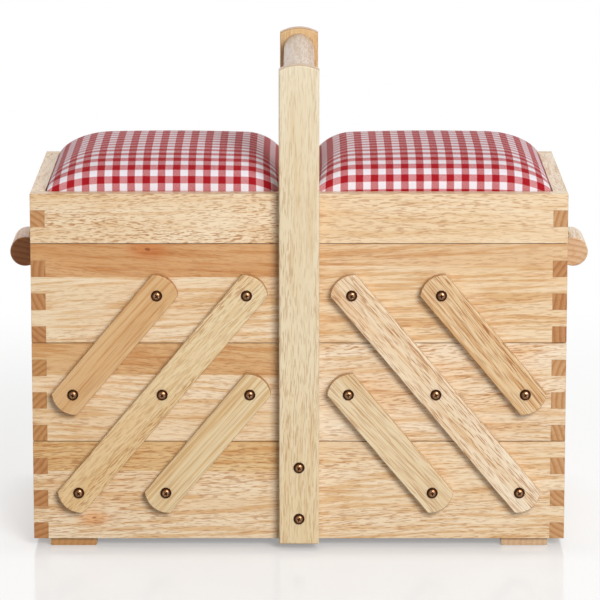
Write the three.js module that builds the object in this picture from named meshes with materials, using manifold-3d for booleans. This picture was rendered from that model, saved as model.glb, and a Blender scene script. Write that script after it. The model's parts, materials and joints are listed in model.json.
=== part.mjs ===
// A three-tier cantilever sewing box: a wide base, two pairs of half trays that swing out on slanted links,
// padded lids and a carrying handle. Millimetres, X along the box, Y from front to back, Z up, floor at Z 0.
import * as THREE from "three";
import { mergeVertices } from "three/addons/utils/BufferGeometryUtils.js";
import Module from "manifold-3d";

// Case boards and their finger joints
const boxWidth = 440;
const boxDepth = 220;
const wall = 12;
const trayHeight = 82.5;
const trayFingers = 6;
const lidHeight = 41.25;
const lidFingers = 3;
const glueLine = 0.1; // between glued faces
const cutPast = 1; // how far a cut runs past the face that it opens

// Room between the moving trays
const tierGap = 0.5; // from a rim to the tray above it
const centreGap = 1.5; // between the left and the right trays
const faceSetback = 0.5; // trays stand this far behind the faces of the base

// Panels in grooves
const panelThickness = 4;
const panelRise = 5; // above the lower edge of the boards
const lidPanelThickness = 5;
const lidPanelRise = 6;
const grooveDepth = 5;
const grooveClearance = 0.3;

// Foot runners
const footWidth = 38.5;
const footHeight = 7;
const footEndInset = 13.5; // from the end of the base
const footSetback = 4; // from the front and back of the base
const footChamfer = 2;

// Handle
const uprightWidth = 33;
const uprightThickness = 13;
const uprightBow = 4.4; // height of the arc at the top
const uprightFloorGap = 5.5;
const handleRise = 107.75; // from the lid's rim to the top of an upright
const gripDiameter = 26;
const gripDrop = 4.5; // from the top of an upright to the grip
const tenonDiameter = 16;
const tenonCover = 4; // wood left over the end of a tenon
const tenonClearance = 0.2;
const handleScrewHeights = [20, 63.5]; // above the lower edge of the base

// Links
const linkWidth = 27.4;
const linkThickness = 9;
const linkOverhang = 16.5; // from the last pivot to the tip
const linkBow = 5.6; // height of the arc at each end
const linkStandoff = 0.5; // from the face of the base
const longLinkEndInset = 38; // base pivot from the end of the box
const longLinkHandleGap = 26.5; // top pivot from the edge of the upright
const lowerLinkHandleGap = 24;
const upperLinkEndInset = 34;

// Round-headed screws, each part of the link that it holds, or of the board that it fastens an upright to
const screwRadius = 2;
const screwHeadRadius = 4.65;
const screwHeadHeight = 3;
const screwRim = 0.6; // straight edge of the head below its dome
const screwSink = 0.3; // depth of a head's underside in its link
const screwClearance = 0.3;
const screwTipCover = 2; // wood left behind the tip of a screw

// Pulls on the outer ends of the top trays
const pullDiameter = 25;
const pullLength = 52;
const pullFlat = 2; // depth of the flat against the board
const pullDrop = 22; // centre below the rim of the tray

// Lid hinges
const hingeLength = 120;
const hingeKnuckles = 5;
const hingeKnuckleGap = 0.3;
const hingePinRadius = 1;
const hingePinClearance = 0.3;
const hingeKnuckleWall = 0.9;
const hingeFaceGap = 0.2; // from a knuckle to the end board
const hingeLeafThickness = 1;
const hingeLeafInset = 3; // wood left between a leaf and the inside of the board

// Cushions
const cushionCrown = 31; // above the lid's rim
const cushionShoulder = 48; // width of the round slope inside each edge
const cushionSideGap = 0.5;
const cushionBaseGap = 0.3;
const cushionDrawIn = 2.5; // how far each side pulls in between its corners
const cushionTuck = 7; // edge of the crown below the lid's rim
const cushionSteps = 18;

// Fineness of round shapes
const roundSides = 12;
const gripSides = 24;
const arcSteps = 6;
const screwDomeSteps = 2;
const mergeDistance = 1e-4;

// Heights of the tiers
const tierRise = trayHeight + tierGap;
const baseFloor = footHeight;
const middleFloor = baseFloor + tierRise;
const topFloor = middleFloor + tierRise;
const lidFloor = topFloor + tierRise;
const lidRim = lidFloor + lidHeight;
const lidSeam = lidFloor - tierGap / 2;

// Pivots, as distances from the middle of the box
const halfWidth = boxWidth / 2;
const halfDepth = boxDepth / 2;
const longBaseX = halfWidth - longLinkEndInset;
const longTopX = uprightWidth / 2 + longLinkHandleGap;
const linkRun = (longBaseX - longTopX) / 2;
const lowerTopX = uprightWidth / 2 + lowerLinkHandleGap;
const upperBaseX = halfWidth - upperLinkEndInset;
const pivotHeight = trayHeight / 2;
const linkPitch = Math.hypot(linkRun, tierRise);
const linkTilt = Math.atan2(tierRise, linkRun);
const linkBack = halfDepth + linkStandoff;
const screwReach = wall - screwTipCover; // into a board of the base
const screwHole = (screwRadius + screwClearance) / Math.cos(Math.PI / roundSides);

const hingeKnuckleRadius = hingePinRadius + hingePinClearance + hingeKnuckleWall;
const hingeAxisX = halfWidth + hingeFaceGap + hingeKnuckleRadius;

const rubberwood = new THREE.MeshStandardMaterial({ color: 0xdcbc92, roughness: 0.45, metalness: 0 });
const plywood = new THREE.MeshStandardMaterial({ color: 0xdcc8a4, roughness: 0.6, metalness: 0 });
const gingham = new THREE.MeshStandardMaterial({ color: 0xc9606c, roughness: 0.9, metalness: 0 });
const brass = new THREE.MeshStandardMaterial({ color: 0xa5803c, roughness: 0.35, metalness: 1 });

const wasm = await Module();
wasm.setup();

// The closed surface of a three.js geometry as a solid that can be joined and cut.
function solid(geometry) {
  geometry.deleteAttribute("normal");
  geometry.deleteAttribute("uv");
  const merged = mergeVertices(geometry, mergeDistance);
  const corners = merged.index.array;
  const triVerts = [];
  for (let i = 0; i < corners.length; i += 3) {
    const [a, b, c] = corners.slice(i, i + 3);
    if (a !== b && b !== c && c !== a) triVerts.push(a, b, c);
  }
  return new wasm.Manifold(
    new wasm.Mesh({
      numProp: 3,
      vertProperties: merged.attributes.position.array,
      triVerts: new Uint32Array(triVerts),
    }),
  );
}

function piece(name, body, material) {
  const { vertProperties, triVerts } = body.getMesh();
  const geometry = new THREE.BufferGeometry();
  geometry.setAttribute("position", new THREE.BufferAttribute(vertProperties, 3));
  geometry.setIndex(new THREE.BufferAttribute(triVerts, 1));
  geometry.computeVertexNormals();
  const mesh = new THREE.Mesh(geometry, material);
  mesh.name = name;
  return mesh;
}

// A block between two opposite corners.
function block(low, high) {
  const size = high.map((value, axis) => value - low[axis]);
  const middle = high.map((value, axis) => (value + low[axis]) / 2);
  return solid(new THREE.BoxGeometry(...size).translate(...middle));
}

// A round rod along Y.
function rod(radius, x, yLow, yHigh, z) {
  const length = yHigh - yLow;
  const geometry = new THREE.CylinderGeometry(radius, radius, length, roundSides);
  return solid(geometry.translate(x, (yLow + yHigh) / 2, z));
}

// A flat plate from an outline in X and Z, from yLow to yHigh, with its X turned up towards Z by an angle.
function plate(outline, yLow, yHigh, lean = 0) {
  const options = { depth: yHigh - yLow, bevelEnabled: false, curveSegments: arcSteps };
  const geometry = new THREE.ExtrudeGeometry(outline, options);
  return solid(geometry.rotateX(Math.PI / 2).rotateY(-lean).translate(0, yHigh, 0));
}

// A round-headed screw along Y, head towards -Y. The point is on the seat, and the head's underside may sink.
function screw(point, shankLength, sink, turn = 0) {
  const profile = [];
  for (let step = 0; step <= screwDomeSteps; step += 1) {
    const angle = (step / screwDomeSteps) * (Math.PI / 2);
    const rise = screwRim + (screwHeadHeight - screwRim) * Math.cos(angle);
    profile.push(new THREE.Vector2(screwHeadRadius * Math.sin(angle), -rise));
  }
  profile.push(new THREE.Vector2(screwHeadRadius, sink));
  profile.push(new THREE.Vector2(screwRadius, sink));
  profile.push(new THREE.Vector2(screwRadius, shankLength));
  profile.push(new THREE.Vector2(0, shankLength));
  const geometry = new THREE.LatheGeometry(profile, roundSides);
  return solid(geometry.translate(...point).rotateZ(turn));
}

// Four finger-jointed boards round a panel. The end boards' fingers show on the front and the back.
function glueUp(names, { x, y, floor, height, fingers, panelFloor, panelHeight }) {
  const [xLow, xHigh] = x;
  const [yLow, yHigh] = y;
  const rim = floor + height;
  const step = height / fingers;
  const inset = wall - grooveDepth + grooveClearance;
  const panelLow = [xLow + inset, yLow + inset, floor + panelFloor];
  const panelHigh = [xHigh - inset, yHigh - inset, floor + panelFloor + panelHeight];
  const panel = block(panelLow, panelHigh);
  const groove = block(
    panelLow.map((value) => value - grooveClearance),
    panelHigh.map((value) => value + grooveClearance),
  );
  let front = block([xLow, yLow, floor], [xHigh, yLow + wall, rim]);
  let back = block([xLow, yHigh - wall, floor], [xHigh, yHigh, rim]);
  let lowEnd = block([xLow, yLow, floor], [xLow + wall, yHigh, rim]);
  let highEnd = block([xHigh - wall, yLow, floor], [xHigh, yHigh, rim]);
  const seat = wall + glueLine;
  for (let finger = 0; finger < fingers; finger += 1) {
    const low = rim - (finger + 1) * step - glueLine / 2;
    const high = rim - finger * step + glueLine / 2;
    const ends = [
      [xLow - glueLine, xLow + seat],
      [xHigh - seat, xHigh + glueLine],
    ];
    const faces = [
      [yLow - glueLine, yLow + seat],
      [yHigh - seat, yHigh + glueLine],
    ];
    for (const [xa, xb] of ends) {
      for (const [ya, yb] of faces) {
        const notch = block([xa, ya, low], [xb, yb, high]);
        if (finger % 2 === 1) {
          front = front.subtract(notch);
          back = back.subtract(notch);
        } else {
          lowEnd = lowEnd.subtract(notch);
          highEnd = highEnd.subtract(notch);
        }
      }
    }
  }
  return {
    [names.front]: front.subtract(groove),
    [names.back]: back.subtract(groove),
    [names.lowEnd]: lowEnd.subtract(groove),
    [names.highEnd]: highEnd.subtract(groove),
    [names.panel]: panel,
  };
}

// Cuts blind screw holes into the outer face of a front or back board.
function drill(board, face, points) {
  const faceSign = Math.sign(face);
  const depth = halfDepth - screwReach - screwClearance;
  for (const [x, z] of points) {
    const ends = [faceSign * depth, face + faceSign * cutPast];
    board = board.subtract(rod(screwHole, x, Math.min(...ends), Math.max(...ends), z));
  }
  return board;
}

// An upright or link outline: a strip along X with an arc at each end that is asked for.
function strip(start, end, width, startBow, endBow) {
  const half = width / 2;
  const arc = (bow) => {
    const radius = (half * half + bow * bow) / (2 * bow);
    return { radius, spread: Math.asin(half / radius) };
  };
  const outline = new THREE.Shape();
  outline.moveTo(start + startBow, -half);
  outline.lineTo(end - endBow, -half);
  const { radius, spread } = arc(endBow);
  outline.absarc(end - radius, 0, radius, -spread, spread, false);
  outline.lineTo(start + startBow, half);
  if (startBow > 0) {
    const round = arc(startBow);
    const turn = Math.PI - round.spread;
    outline.absarc(start + round.radius, 0, round.radius, turn, turn + 2 * round.spread, false);
  }
  outline.closePath();
  return outline;
}

// A link from its first pivot at the origin along +X, with its screws. Its back is at Y 0, towards the box.
function link(pivots) {
  const length = (pivots - 1) * linkPitch;
  const outline = strip(-linkOverhang, length + linkOverhang, linkWidth, linkBow, linkBow);
  let body = plate(outline, -linkThickness, 0);
  for (let pivot = 0; pivot < pivots; pivot += 1) {
    const shank = linkThickness + linkStandoff + screwReach;
    body = body.add(screw([pivot * linkPitch, -linkThickness, 0], shank, screwSink));
  }
  return body;
}

// A crowned pad that fills a rectangle: flat below, its sides drawn in, its top rounded over to the edges.
function cushion(halfX, halfY, floor, rim) {
  const spread = (step) => Math.sin((step / cushionSteps - 0.5) * Math.PI);
  const shoulder = (distance) => {
    const slope = Math.max(0, 1 - distance / cushionShoulder);
    return Math.sqrt(Math.max(0, 1 - slope * slope));
  };
  const edgeRise = rim - floor - cushionTuck;
  const points = [];
  for (const top of [true, false]) {
    for (let j = 0; j <= cushionSteps; j += 1) {
      for (let i = 0; i <= cushionSteps; i += 1) {
        const u = spread(i);
        const v = spread(j);
        const rise = shoulder(halfX * (1 - Math.abs(u))) * shoulder(halfY * (1 - Math.abs(v)));
        const x = u * (halfX - cushionDrawIn * (1 - v * v));
        const y = v * (halfY - cushionDrawIn * (1 - u * u));
        const height = floor + edgeRise + (rim - floor - edgeRise + cushionCrown) * rise;
        points.push(x, y, top ? height : floor);
      }
    }
  }
  const row = cushionSteps + 1;
  const underside = row * row;
  const faces = [];
  const quad = (a, b, c, d) => faces.push(a, b, c, a, c, d);
  for (let j = 0; j < cushionSteps; j += 1) {
    for (let i = 0; i < cushionSteps; i += 1) {
      const a = j * row + i;
      quad(a, a + 1, a + row + 1, a + row);
      quad(underside + a, underside + a + row, underside + a + row + 1, underside + a + 1);
    }
  }
  const last = cushionSteps * row;
  for (let k = 0; k < cushionSteps; k += 1) {
    const west = k * row;
    const east = west + cushionSteps;
    quad(k + 1, k, underside + k, underside + k + 1);
    quad(last + k, last + k + 1, underside + last + k + 1, underside + last + k);
    quad(west, west + row, underside + west + row, underside + west);
    quad(east + row, east, underside + east, underside + east + row);
  }
  const geometry = new THREE.BufferGeometry();
  geometry.setAttribute("position", new THREE.Float32BufferAttribute(points, 3));
  geometry.setIndex(faces);
  return solid(geometry);
}

const sewingBox = new THREE.Group();

function addPieces(bodies, material) {
  for (const [name, body] of Object.entries(bodies)) {
    const finish = name.endsWith("_panel") ? plywood : material;
    sewingBox.add(piece(name, body, finish));
  }
}

// Base, with the screws that hold the uprights
const uprightFace = halfDepth + glueLine;
const handleScrewLevels = handleScrewHeights.map((height) => baseFloor + height);
const basePivots = [-longBaseX, -(lowerTopX + linkRun), lowerTopX + linkRun, longBaseX];
const baseHoles = basePivots.map((x) => [x, baseFloor + pivotHeight]);
const base = glueUp(
  {
    front: "base_front_board",
    back: "base_back_board",
    lowEnd: "base_left_end",
    highEnd: "base_right_end",
    panel: "base_bottom_panel",
  },
  {
    x: [-halfWidth, halfWidth],
    y: [-halfDepth, halfDepth],
    floor: baseFloor,
    height: trayHeight,
    fingers: trayFingers,
    panelFloor: panelRise,
    panelHeight: panelThickness,
  },
);
base.base_front_board = drill(base.base_front_board, -halfDepth, baseHoles);
base.base_back_board = drill(base.base_back_board, halfDepth, baseHoles);
const handleScrewSeat = uprightFace + uprightThickness + glueLine;
const handleScrewLength = uprightThickness + 2 * glueLine + screwReach;
for (const z of handleScrewLevels) {
  const point = [0, -handleScrewSeat, z];
  base.base_front_board = base.base_front_board.add(screw(point, handleScrewLength, 0));
  base.base_back_board = base.base_back_board.add(screw(point, handleScrewLength, 0, Math.PI));
}
addPieces(base, rubberwood);

// Foot runners, from front to back under the base
const footOutline = new THREE.Shape();
footOutline.moveTo(-footWidth / 2 + footChamfer, 0);
footOutline.lineTo(footWidth / 2 - footChamfer, 0);
footOutline.lineTo(footWidth / 2, footChamfer);
footOutline.lineTo(footWidth / 2, footHeight - glueLine);
footOutline.lineTo(-footWidth / 2, footHeight - glueLine);
footOutline.lineTo(-footWidth / 2, footChamfer);
footOutline.closePath();
for (const [side, sign] of [["left", -1], ["right", 1]]) {
  const runner = plate(footOutline, -halfDepth + footSetback, halfDepth - footSetback);
  const mesh = piece(`${side}_foot_runner`, runner, rubberwood);
  mesh.position.x = sign * (halfWidth - footEndInset - footWidth / 2);
  sewingBox.add(mesh);
}

// Handle: the uprights stand against the base, the grip's tenons sit in blind holes
const uprightTop = lidRim + handleRise;
const gripZ = uprightTop - gripDrop - gripDiameter / 2;
const tenonLength = uprightThickness - tenonCover;
for (const [face, turn] of [["front", 0], ["back", Math.PI]]) {
  const outline = strip(uprightFloorGap, uprightTop, uprightWidth, 0, uprightBow);
  let upright = plate(outline, -uprightThickness, 0, Math.PI / 2);
  const socket = (tenonDiameter / 2 + tenonClearance) / Math.cos(Math.PI / roundSides);
  upright = upright.subtract(rod(socket, 0, -tenonLength - tenonClearance, cutPast, gripZ));
  for (const z of handleScrewLevels) {
    upright = upright.subtract(rod(screwHole, 0, -uprightThickness - cutPast, cutPast, z));
  }
  const mesh = piece(`${face}_upright`, upright, rubberwood);
  const stand = new THREE.Group();
  stand.rotation.z = turn;
  mesh.position.y = -uprightFace;
  stand.add(mesh);
  sewingBox.add(stand);
}
const gripEnd = uprightFace - glueLine;
const tenonEnd = uprightFace + tenonLength;
const gripProfile = [
  new THREE.Vector2(0, -tenonEnd),
  new THREE.Vector2(tenonDiameter / 2, -tenonEnd),
  new THREE.Vector2(tenonDiameter / 2, -gripEnd),
  new THREE.Vector2(gripDiameter / 2, -gripEnd),
  new THREE.Vector2(gripDiameter / 2, gripEnd),
  new THREE.Vector2(tenonDiameter / 2, gripEnd),
  new THREE.Vector2(tenonDiameter / 2, tenonEnd),
  new THREE.Vector2(0, tenonEnd),
];
const grip = piece("grip", solid(new THREE.LatheGeometry(gripProfile, gripSides)), rubberwood);
grip.position.z = gripZ;
sewingBox.add(grip);

// One half of the hinge, along Y with its axis at the origin and its leaf towards +X. The tray's half lies
// below the axis and holds the pin, and the lid's half lies above it.
function hingeHalf(ofLid) {
  const sign = ofLid ? 1 : -1;
  const leafNear = hingeKnuckleRadius + hingeFaceGap;
  const leafFar = leafNear + wall - hingeLeafInset;
  const leafFlat = (sign * tierGap) / 2;
  const leafTop = leafFlat + sign * hingeLeafThickness;
  const [zLow, zHigh] = [Math.min(leafFlat, leafTop), Math.max(leafFlat, leafTop)];
  const half = hingeLength / 2;
  let body = block([leafNear, -half, zLow], [leafFar, half, zHigh]);
  const step = hingeLength / hingeKnuckles;
  for (let knuckle = ofLid ? 1 : 0; knuckle < hingeKnuckles; knuckle += 2) {
    const yLow = -half + knuckle * step + hingeKnuckleGap / 2;
    const yHigh = yLow + step - hingeKnuckleGap;
    const tab = block([0, yLow, Math.min(0, zLow)], [leafNear + hingeFaceGap, yHigh, Math.max(0, zHigh)]);
    body = body.add(tab).add(rod(hingeKnuckleRadius, 0, yLow, yHigh, 0));
  }
  if (ofLid) {
    const bore = (hingePinRadius + hingePinClearance) / Math.cos(Math.PI / roundSides);
    return body.subtract(rod(bore, 0, -half, half, 0));
  }
  return body.add(rod(hingePinRadius, 0, -half + hingeKnuckleGap, half - hingeKnuckleGap, 0));
}

// The pull's section: a round rod with a flat against the end board, which is at X 0
function pullOutline() {
  const radius = pullDiameter / 2;
  const centre = radius - pullFlat;
  const half = Math.acos(-centre / radius);
  const outline = new THREE.Shape();
  outline.absarc(centre, 0, radius, -half, half, false);
  outline.closePath();
  return outline;
}

// Left and right halves. A piece that faces the other way on the right is the left one turned round Z.
for (const [side, sign] of [["left", -1], ["right", 1]]) {
  const span = [(sign * centreGap) / 2, sign * halfWidth].sort((a, b) => a - b);
  const depth = [-halfDepth + faceSetback, halfDepth - faceSetback];
  const turned = new THREE.Group();
  turned.rotation.z = sign < 0 ? 0 : Math.PI;
  sewingBox.add(turned);

  const tray = (tier, floor, holes) => {
    const [lowEnd, highEnd] = sign < 0 ? ["outer", "inner"] : ["inner", "outer"];
    const boards = glueUp(
      {
        front: "front_board",
        back: "back_board",
        lowEnd: `${lowEnd}_end`,
        highEnd: `${highEnd}_end`,
        panel: "bottom_panel",
      },
      {
        x: span,
        y: depth,
        floor,
        height: trayHeight,
        fingers: trayFingers,
        panelFloor: panelRise,
        panelHeight: panelThickness,
      },
    );
    const points = holes.map((x) => [sign * x, floor + pivotHeight]);
    boards.front_board = drill(boards.front_board, depth[0], points);
    boards.back_board = drill(boards.back_board, depth[1], points);
    const named = Object.entries(boards).map(([name, body]) => [`${side}_${tier}_${name}`, body]);
    return Object.fromEntries(named);
  };

  const middle = tray("middle", middleFloor, [upperBaseX, longBaseX - linkRun, lowerTopX]);
  const top = tray("top", topFloor, [upperBaseX - linkRun, longTopX]);

  // Rails of the lid, with the hinge's leaves let into the outer ends of the lid and of the top tray
  const [lowEnd, highEnd] = sign < 0 ? ["outer", "inner"] : ["inner", "outer"];
  const lid = glueUp(
    {
      front: `${side}_lid_front_rail`,
      back: `${side}_lid_back_rail`,
      lowEnd: `${side}_lid_${lowEnd}_end`,
      highEnd: `${side}_lid_${highEnd}_end`,
      panel: `${side}_lid_panel`,
    },
    {
      x: span,
      y: depth,
      floor: lidFloor,
      height: lidHeight,
      fingers: lidFingers,
      panelFloor: lidPanelRise,
      panelHeight: lidPanelThickness,
    },
  );
  const rebateDepth = hingeLeafThickness + glueLine;
  const rebateEnds = [sign * (halfWidth - wall + hingeLeafInset - glueLine), sign * (halfWidth + cutPast)];
  const rebateHalf = hingeLength / 2 + glueLine;
  const rebate = (zLow, zHigh) =>
    block([Math.min(...rebateEnds), -rebateHalf, zLow], [Math.max(...rebateEnds), rebateHalf, zHigh]);
  const trayEnd = `${side}_top_outer_end`;
  const lidEnd = `${side}_lid_outer_end`;
  const trayRim = lidFloor - tierGap;
  top[trayEnd] = top[trayEnd].subtract(rebate(trayRim - rebateDepth, trayRim + cutPast));
  lid[lidEnd] = lid[lidEnd].subtract(rebate(lidFloor - cutPast, lidFloor + rebateDepth));
  addPieces(middle, rubberwood);
  addPieces(top, rubberwood);
  addPieces(lid, rubberwood);

  for (const [name, ofLid] of [["tray", false], ["lid", true]]) {
    const leaf = piece(`${side}_${name}_hinge_leaf`, hingeHalf(ofLid), brass);
    leaf.position.set(-hingeAxisX, 0, lidSeam);
    turned.add(leaf);
  }

  const pull = piece(`${side}_pull`, plate(pullOutline(), -pullLength / 2, pullLength / 2), rubberwood);
  pull.position.set(-halfWidth - glueLine, 0, trayRim - pullDrop);
  pull.rotation.z = Math.PI;
  turned.add(pull);

  const padFloor = lidFloor + lidPanelRise + lidPanelThickness + cushionBaseGap;
  const padHalfX = (span[1] - span[0]) / 2 - wall - cushionSideGap;
  const padHalfY = depth[1] - wall - cushionSideGap;
  const pad = piece(`${side}_lid_cushion`, cushion(padHalfX, padHalfY, padFloor, lidRim), gingham);
  pad.position.x = (span[0] + span[1]) / 2;
  sewingBox.add(pad);

  // Links lean towards the middle of the box
  const links = [
    ["long", 3, longBaseX, baseFloor],
    ["lower", 2, lowerTopX + linkRun, baseFloor],
    ["upper", 2, upperBaseX, middleFloor],
  ];
  const lean = sign < 0 ? linkTilt : Math.PI - linkTilt;
  for (const [kind, pivots, x, floor] of links) {
    for (const face of ["front", "back"]) {
      const mesh = piece(`${side}_${kind}_link_${face}`, link(pivots), rubberwood);
      const z = floor + pivotHeight;
      if (face === "front") {
        mesh.position.set(sign * x, -linkBack, z);
        mesh.rotation.set(0, -lean, 0);
      } else {
        mesh.position.set(sign * x, linkBack, z);
        mesh.rotation.set(Math.PI, lean, 0);
      }
      sewingBox.add(mesh);
    }
  }
}

export default sewingBox;
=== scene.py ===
import json
import math
import random

import bmesh
import bpy
import numpy as np
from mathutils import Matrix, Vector


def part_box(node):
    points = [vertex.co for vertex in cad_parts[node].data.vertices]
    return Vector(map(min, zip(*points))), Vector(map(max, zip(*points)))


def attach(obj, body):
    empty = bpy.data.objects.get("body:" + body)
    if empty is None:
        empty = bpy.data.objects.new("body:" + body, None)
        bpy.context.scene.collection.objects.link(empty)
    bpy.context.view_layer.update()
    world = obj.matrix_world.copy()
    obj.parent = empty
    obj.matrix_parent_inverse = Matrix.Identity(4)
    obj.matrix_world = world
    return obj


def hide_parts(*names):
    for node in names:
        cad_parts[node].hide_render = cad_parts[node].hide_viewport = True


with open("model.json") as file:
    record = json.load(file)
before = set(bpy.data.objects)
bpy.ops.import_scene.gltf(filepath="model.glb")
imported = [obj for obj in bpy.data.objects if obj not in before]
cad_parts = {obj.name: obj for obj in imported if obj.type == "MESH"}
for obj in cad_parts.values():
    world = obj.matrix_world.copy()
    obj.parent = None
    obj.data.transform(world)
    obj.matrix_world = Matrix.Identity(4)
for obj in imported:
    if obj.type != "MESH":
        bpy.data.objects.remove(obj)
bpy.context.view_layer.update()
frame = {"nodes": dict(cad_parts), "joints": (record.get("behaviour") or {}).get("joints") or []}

scene = bpy.context.scene
jointAt = {joint["name"]: Vector(joint["pos_m"]) for joint in frame["joints"]}
alongX, alongY, alongZ = Vector((1, 0, 0)), Vector((0, 1, 0)), Vector((0, 0, 1))
sides = {"left": -1, "right": 1}
faceWays = {"front": -1, "back": 1}
closeBy = 1e-6      # metres, for finding a corner or an edge again
squareOn = 0.99     # the cosine past which a face looks along an axis


# Colours, written as a screen shows them

def screenColour(red, green, blue):
    def linear(value):
        value /= 255
        return value / 12.92 if value <= 0.04045 else ((value + 0.055) / 1.055) ** 2.4
    return (linear(red), linear(green), linear(blue), 1.0)


# Two tints carry painted light: the paler one on the front upright's top, and the greyish one on the grip,
# partly painted sheen
woodTints = {name: screenColour(*colour) for name, colour in {
    "cream": (231, 216, 193), "straw": (223, 207, 176), "birch": (223, 217, 197), "flax": (218, 198, 160),
    "wheat": (228, 208, 178), "biscuit": (219, 193, 155), "honey": (218, 189, 143), "rose": (215, 182, 142),
    "ginger": (209, 172, 125), "amber": (203, 158, 109), "dove": (205, 186, 164),
}.items()}


# Small helpers for node trees. A socket gets a link or a value.

def setSockets(tree, node, sockets):
    for name, value in sockets.items():
        if isinstance(value, bpy.types.NodeSocket):
            tree.links.new(value, node.inputs[name])
        else:
            node.inputs[name].default_value = value


def addNode(tree, kind, sockets=None, **settings):
    node = tree.nodes.new(kind)
    for name, value in settings.items():
        setattr(node, name, value)
    setSockets(tree, node, sockets or {})
    return node


def calc(tree, operation, a, b=0.0, clamp=False):
    return addNode(tree, "ShaderNodeMath", {0: a, 1: b}, operation=operation, use_clamp=clamp).outputs[0]


def times(tree, a, b, clamp=False):
    return calc(tree, "MULTIPLY", a, b, clamp)


def vectorCalc(tree, operation, a, b=(0.0, 0.0, 0.0)):
    return addNode(tree, "ShaderNodeVectorMath", {0: a, 1: b}, operation=operation).outputs[0]


def vectorLength(tree, vector):
    return addNode(tree, "ShaderNodeVectorMath", {0: vector}, operation="LENGTH").outputs["Value"]


def ease(tree, value, low, high, toLow=0.0, toHigh=1.0):
    limits = {"Value": value, "From Min": low, "From Max": high, "To Min": toLow, "To Max": toHigh}
    return addNode(tree, "ShaderNodeMapRange", limits, interpolation_type="SMOOTHSTEP").outputs["Result"]


def mixColour(tree, factor, a, b, blend="MIX"):
    sockets = {0: factor, 6: a, 7: b}
    return addNode(tree, "ShaderNodeMix", sockets, data_type="RGBA", blend_type=blend).outputs[2]


def stretchedNoise(tree, vector, pitch, detail=2.0):
    stretched = vectorCalc(tree, "MULTIPLY", vector, pitch)
    return addNode(tree, "ShaderNodeTexNoise", {"Vector": stretched, "Scale": 1.0, "Detail": detail})


# A noise's colour as a push to either side
def wander(tree, noise, reach):
    push = vectorCalc(tree, "SUBTRACT", noise.outputs["Color"], (0.5, 0.5, 0.5))
    return vectorCalc(tree, "MULTIPLY", push, reach)


def attribute(tree, name, output="Fac"):
    return addNode(tree, "ShaderNodeAttribute", attribute_name=name).outputs[output]


def objectPlace(tree):
    return addNode(tree, "ShaderNodeTexCoord").outputs["Object"]


def newGroup(name, inputs, outputs, kind="Shader"):
    group = bpy.data.node_groups.new(name, kind + "NodeTree")
    for direction, sockets in (("INPUT", inputs), ("OUTPUT", outputs)):
        for socket, value in sockets.items():
            group.interface.new_socket(socket, in_out=direction, socket_type="NodeSocket" + value)
    return group, group.nodes.new("NodeGroupInput").outputs, group.nodes.new("NodeGroupOutput")


def newMaterial(name):
    material = bpy.data.materials.new(name)
    material.use_nodes = True
    tree = material.node_tree
    return material, tree, tree.nodes["Principled BSDF"]


def relief(tree, height, look):
    sockets = {"Height": height, "Strength": look["relief"], "Distance": look["reliefDepth"]}
    return addNode(tree, "ShaderNodeBump", sockets).outputs["Normal"]


# What a group for a finish puts out, and how a material uses it
figureOutputs = {"Color": "Color", "Roughness": "Float", "Height": "Float"}


def useFigure(tree, principled, figure, look):
    rough = calc(tree, "ADD", figure.outputs["Roughness"], look["roughness"])
    setSockets(tree, principled, {"Base Color": figure.outputs["Color"], "Roughness": rough,
                                  "Normal": relief(tree, figure.outputs["Height"], look)})


# Wood: pitches are cycles per metre along, across and through the grain. A shade multiplies a board's tint
# where its noise lies past the range.

woodFigure = {
    "sway": (5.0, 20.0, 20.0), "swayReach": (0.0, 0.010, 0.010),
    "ripple": (30.0, 55.0, 55.0), "rippleReach": (0.0, 0.0018, 0.0018),
    "bands": (3.5, 34.0, 34.0), "bandsRange": (0.36, 0.70), "bandsShade": (0.90, 0.79, 0.64, 1.0),
    "streaks": (20.0, 300.0, 300.0), "streaksRange": (0.45, 0.70), "streaksShade": (0.86, 0.71, 0.54, 1.0),
    "flecks": (140.0, 1150.0, 1150.0), "flecksRange": (0.51, 0.62), "flecksShade": (0.57, 0.36, 0.21, 1.0),
    "field": (5.0, 40.0, 40.0), "fieldRange": (0.32, 0.66), "fieldLeast": 0.40,
    "patches": (8.0, 26.0, 26.0), "patchesRange": (0.55, 0.78), "patchesShade": (0.96, 0.78, 0.60, 1.0),
    "ringsPerMetre": 210.0, "ringRise": (0.25, 0.90), "ringFall": (0.90, 1.0), "ringOnFaces": 0.10,
    "ringShade": (0.80, 0.66, 0.52, 1.0), "endCalm": 0.7, "endShade": (0.67, 0.475, 0.31, 1.0),
    "knotStretch": (0.6, 1.0, 0.0), "stainRange": (0.2, 1.0), "stainShade": (0.92, 0.66, 0.46, 1.0),
    "heartRange": (0.06, 0.12), "heartShade": (0.55, 0.36, 0.24, 1.0),
    "streakRough": 0.06, "fleckRough": 0.18, "streakHeight": 0.25,
}
noKnot = (-9.0, -9.0, 0.0, 0.001)      # a place far from any wood, and a size


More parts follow.
